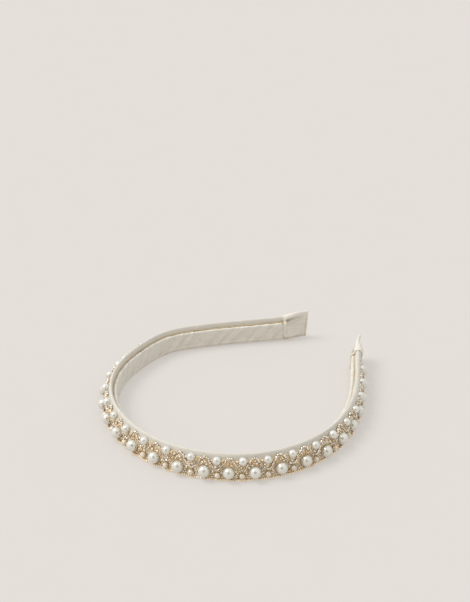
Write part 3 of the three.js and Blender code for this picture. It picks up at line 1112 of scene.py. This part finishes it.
def build_filling():
    """Seed beads sewn wherever the net would show between the pearls, the wave and the crystals."""
    filling = Beads()
    wave_s = np.arange(-PITCH, PITCH, 0.1)
    wave_z = wave_height(wave_s)

    def free(s, z):
        """Whether a seed here would be clear of the pearls, the wave and the crystals."""
        near = (s + PITCH / 2) % PITCH - PITCH / 2
        clear_wave = np.hypot(wave_s - near, wave_z - z).min() > FINE_R + 0.6
        clear_large = math.hypot(abs(near) - PITCH / 2, z - LARGE_Z) > LARGE_R + 0.35
        clear_small = math.hypot(near, z - small_z(s)) > SMALL_R + 0.35
        clear_crystal = math.hypot(near, z - CRYSTAL_Z) > CRYSTAL_R + 0.4
        return clear_wave and clear_large and clear_small and clear_crystal

    for row, z in enumerate(np.arange(FILL_LOW, FILL_HIGH, FILL_STEP * 0.8)):
        for s in np.arange(-TRIM_END + 1.2, TRIM_END - 1.2, FILL_STEP):
            spot = s + FILL_STEP / 2 * (row % 2) + hand(0.12)
            height = z + hand(0.12)
            if free(spot, height) and rng.uniform() < FILL_SHARE:
                turn = rng.uniform(0, math.pi)
                filling.add(FINE_SEED, sewn(spot), float(trim_u(height)) + FILL_U + hand(0.1), height,
                            (math.cos(turn), hand(0.25), math.sin(turn)), 0.0, 1 + hand(0.06))
    follow(filling.build("filling_seed_beads", GOLD_GLASS), "seed")


# ---- stage ----

CAMERA_AZIMUTH, CAMERA_ELEVATION = 43.1, 28.63
CAMERA_DISTANCE, CAMERA_LENS = 0.8126, 85.35
CAMERA_AIM = Vector((-0.07337, 0.07465, 0))
FLOOR_COLOUR = (0.776, 0.738, 0.694)
# The floor's glow is painted light.
FLOOR_GLOW = 0.54  # share of the floor's light that comes through it from below
FLOOR_SHARE = 0.345  # how much of the room's light it returns
FLOOR_SIZE, FLOOR_DROP = 12.0, 0.00005  # in metres, half its width and how far it lies below zero
STUDIO_LIGHT = 0.87


def build_floor():
    """A pale floor: matte, with a glow of its own, painted light that keeps the shadows on it faint."""
    m = Shader("pale_floor", Roughness=0.95, Specular_IOR_Level=0.0, Emission_Strength=FLOOR_GLOW,
               Emission_Color=(*FLOOR_COLOUR, 1))
    coordinates = m.node("TexCoord").outputs["Object"]
    fleck = m.noise(coordinates, (40, 40, 40), 3.0)
    low, high = (tuple(FLOOR_SHARE * scale * c for c in FLOOR_COLOUR) for scale in (1.015, 1.025))
    m.colour(m.ramp(fleck, (0.3, low), (0.7, high)))
    size = FLOOR_SIZE
    corners = [(-size, -size, 0), (size, -size, 0), (size, size, 0), (-size, size, 0)]
    floor = make_object("floor", corners, [(0, 1, 2, 3)], m.material, rounded=False)
    floor.location.z = -FLOOR_DROP


def back_vector(azimuth, elevation):
    """The direction from the object to a camera or light, from its angles in degrees."""
    a, e = math.radians(azimuth), math.radians(elevation)
    return Vector((math.sin(a) * math.cos(e), -math.cos(a) * math.cos(e), math.sin(e)))


def add_sun(name, azimuth, elevation, energy, angle, mirrored=True):
    """A soft sun. mirrored is whether it shows in the beads."""
    light = bpy.data.lights.new(name, "SUN")
    light.energy, light.angle = energy, math.radians(angle)
    obj = add_object(name, light)
    obj.visible_glossy = mirrored
    obj.rotation_euler = back_vector(azimuth, elevation).to_track_quat("Z", "Y").to_euler()


def build_world():
    """A bright studio: its wall runs into the floor, and one darker side gives the beads contrast."""
    world = bpy.data.worlds.new("studio")
    bpy.context.scene.world = world
    world.use_nodes = True
    n = Nodes(world.node_tree)
    direction = n.node("TexCoord").outputs["Generated"]
    facing = n.node("VectorMath", operation="DOT_PRODUCT")
    facing.inputs[1].default_value = back_vector(CAMERA_AZIMUTH, CAMERA_ELEVATION + 4)
    n.feed(facing.inputs[0], direction)
    dark_side = n.ramp(facing.outputs["Value"], (0.84, WHITE), (0.95, (0.08, 0.07, 0.05)))
    height = n.fed("SeparateXYZ", direction, "Z")
    wall_foot = tuple(c / STUDIO_LIGHT for c in FLOOR_COLOUR)
    wall = n.ramp(height, (0.02, wall_foot), (0.4, WHITE))
    background = n.tree.nodes["Background"]
    n.feed(background.inputs["Color"], n.mix(1.0, dark_side, wall, "MULTIPLY"))
    n.feed(background.inputs["Strength"], STUDIO_LIGHT)


def build_camera():
    camera = bpy.data.cameras.new("camera")
    camera.lens, camera.sensor_width = CAMERA_LENS, 36
    camera.clip_start, camera.clip_end = 0.01, 50
    obj = add_object("camera", camera)
    back = back_vector(CAMERA_AZIMUTH, CAMERA_ELEVATION)
    obj.location = CAMERA_AIM + back * CAMERA_DISTANCE
    obj.rotation_euler = back.to_track_quat("Z", "Y").to_euler()
    bpy.context.scene.camera = obj


build_camera()
build_world()
add_sun("soft_key", -53, 53, 1.75, 30)
add_sun("front_fill", 40, 38, 0.5, 70, mirrored=False)
build_floor()

build_core()
build_padding()
build_cover()
build_wrap()
build_seam()
for cap_side, cap_sign in SIDES:
    build_cap(cap_side, cap_sign)
    build_cap_stitches(cap_side, cap_sign)
build_tape()
build_embroidery()
build_pearls()
build_pearl_rings()
build_wave()
build_lower_beads()
build_filling()

bpy.context.scene.view_settings.view_transform = "Standard"
